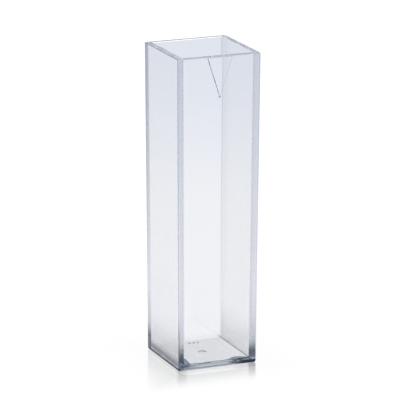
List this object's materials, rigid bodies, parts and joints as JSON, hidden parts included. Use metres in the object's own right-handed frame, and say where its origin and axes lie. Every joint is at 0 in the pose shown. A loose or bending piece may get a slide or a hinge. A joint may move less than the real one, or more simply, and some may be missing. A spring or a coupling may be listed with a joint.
{
  "type": "cuvette",
  "caption": "Square clear-plastic spectrometer cuvette with drafted thin walls, an open mouth, a thin floor and a raised arrow mark on one optical window.",
  "frame": {"origin": "centre of the base, on the surface it stands on", "axes": "+Z along the cell's axis, out of the mouth; -Y out of the optical window with the arrow mark"},
  "size_m": [0.0124, 0.0126, 0.045],
  "materials": {
    "clear_plastic": "clear polished polystyrene, with satin side walls"
  },
  "bodies": {
    "root": {"cuvette": "clear_plastic"}
  },
  "joints": []
}
